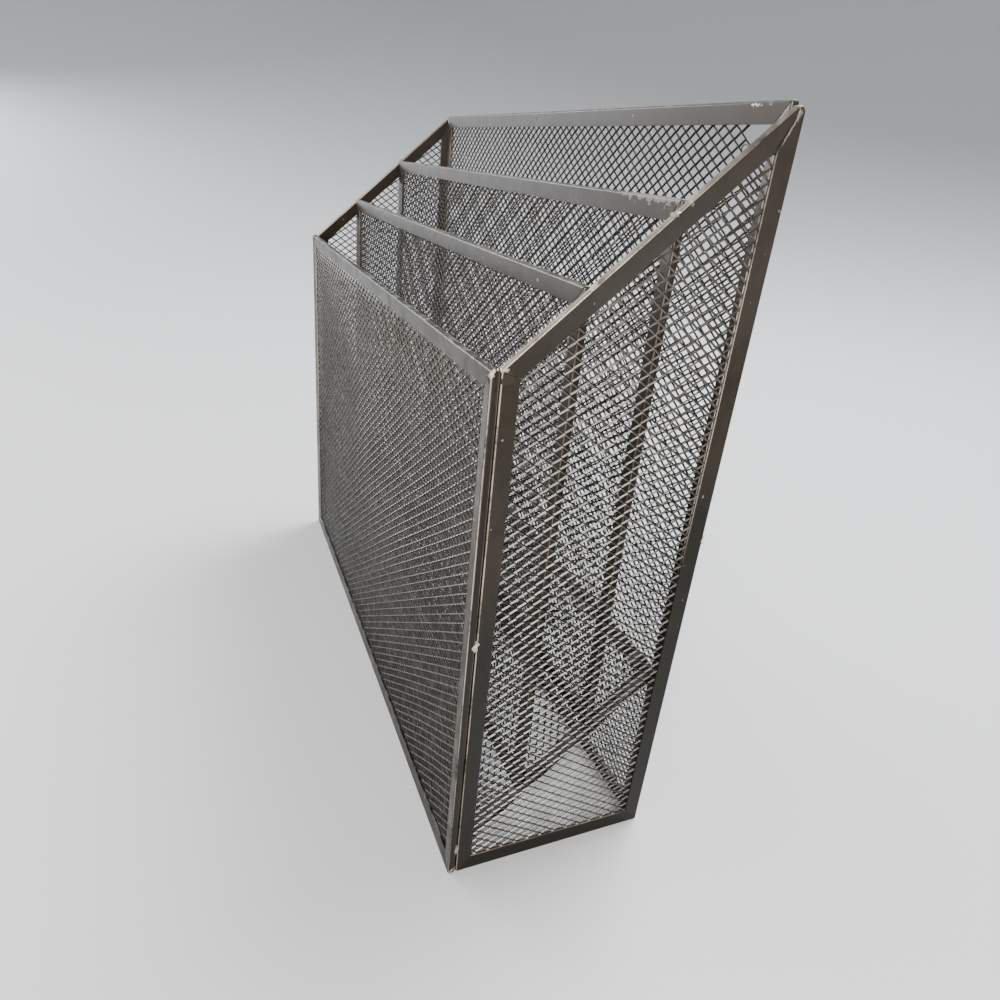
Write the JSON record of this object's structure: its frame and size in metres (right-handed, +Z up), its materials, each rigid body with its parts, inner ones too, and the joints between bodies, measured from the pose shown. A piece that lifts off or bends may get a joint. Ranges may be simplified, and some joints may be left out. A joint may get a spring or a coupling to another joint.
{
  "type": "wire file organizer",
  "caption": "Dark painted steel file organizer with stepped open-top pockets: diamond-mesh panels in folded rims, sloped sides and a slanted mesh floor.",
  "frame": {"origin": "middle of the footprint, on the surface that the stand rests on", "axes": "+X to the right along the pockets, +Y from the low front panel to the high back panel, +Z up"},
  "size_m": [0.32, 0.09, 0.287],
  "materials": {
    "rim_paint": "satin dark grey-brown paint, worn at the edges",
    "mesh_paint": "satin dark grey-brown paint"
  },
  "bodies": {
    "root": {"front_rim_bottom": "rim_paint", "front_rim_right": "rim_paint", "front_rim_top": "rim_paint", "front_rim_left": "rim_paint", "front_mesh": "mesh_paint", "back_rim_bottom": "rim_paint", "back_rim_right": "rim_paint", "back_rim_top": "rim_paint", "back_rim_left": "rim_paint", "back_mesh": "mesh_paint", "left_side_rim_bottom": "rim_paint", "left_side_rim_back": "rim_paint", "left_side_rim_slope": "rim_paint", "left_side_rim_front": "rim_paint", "left_side_mesh": "mesh_paint", "right_side_rim_bottom": "rim_paint", "right_side_rim_back": "rim_paint", "right_side_rim_slope": "rim_paint", "right_side_rim_front": "rim_paint", "right_side_mesh": "mesh_paint", "front_divider_rim_bottom": "rim_paint", "front_divider_rim_right": "rim_paint", "front_divider_rim_top": "rim_paint", "front_divider_rim_left": "rim_paint", "front_divider_mesh": "mesh_paint", "rear_divider_rim_bottom": "rim_paint", "rear_divider_rim_right": "rim_paint", "rear_divider_rim_top": "rim_paint", "rear_divider_rim_left": "rim_paint", "rear_divider_mesh": "mesh_paint", "floor_rim_front": "rim_paint", "floor_rim_right": "rim_paint", "floor_rim_back": "rim_paint", "floor_rim_left": "rim_paint", "floor_mesh": "mesh_paint"}
  },
  "joints": []
}
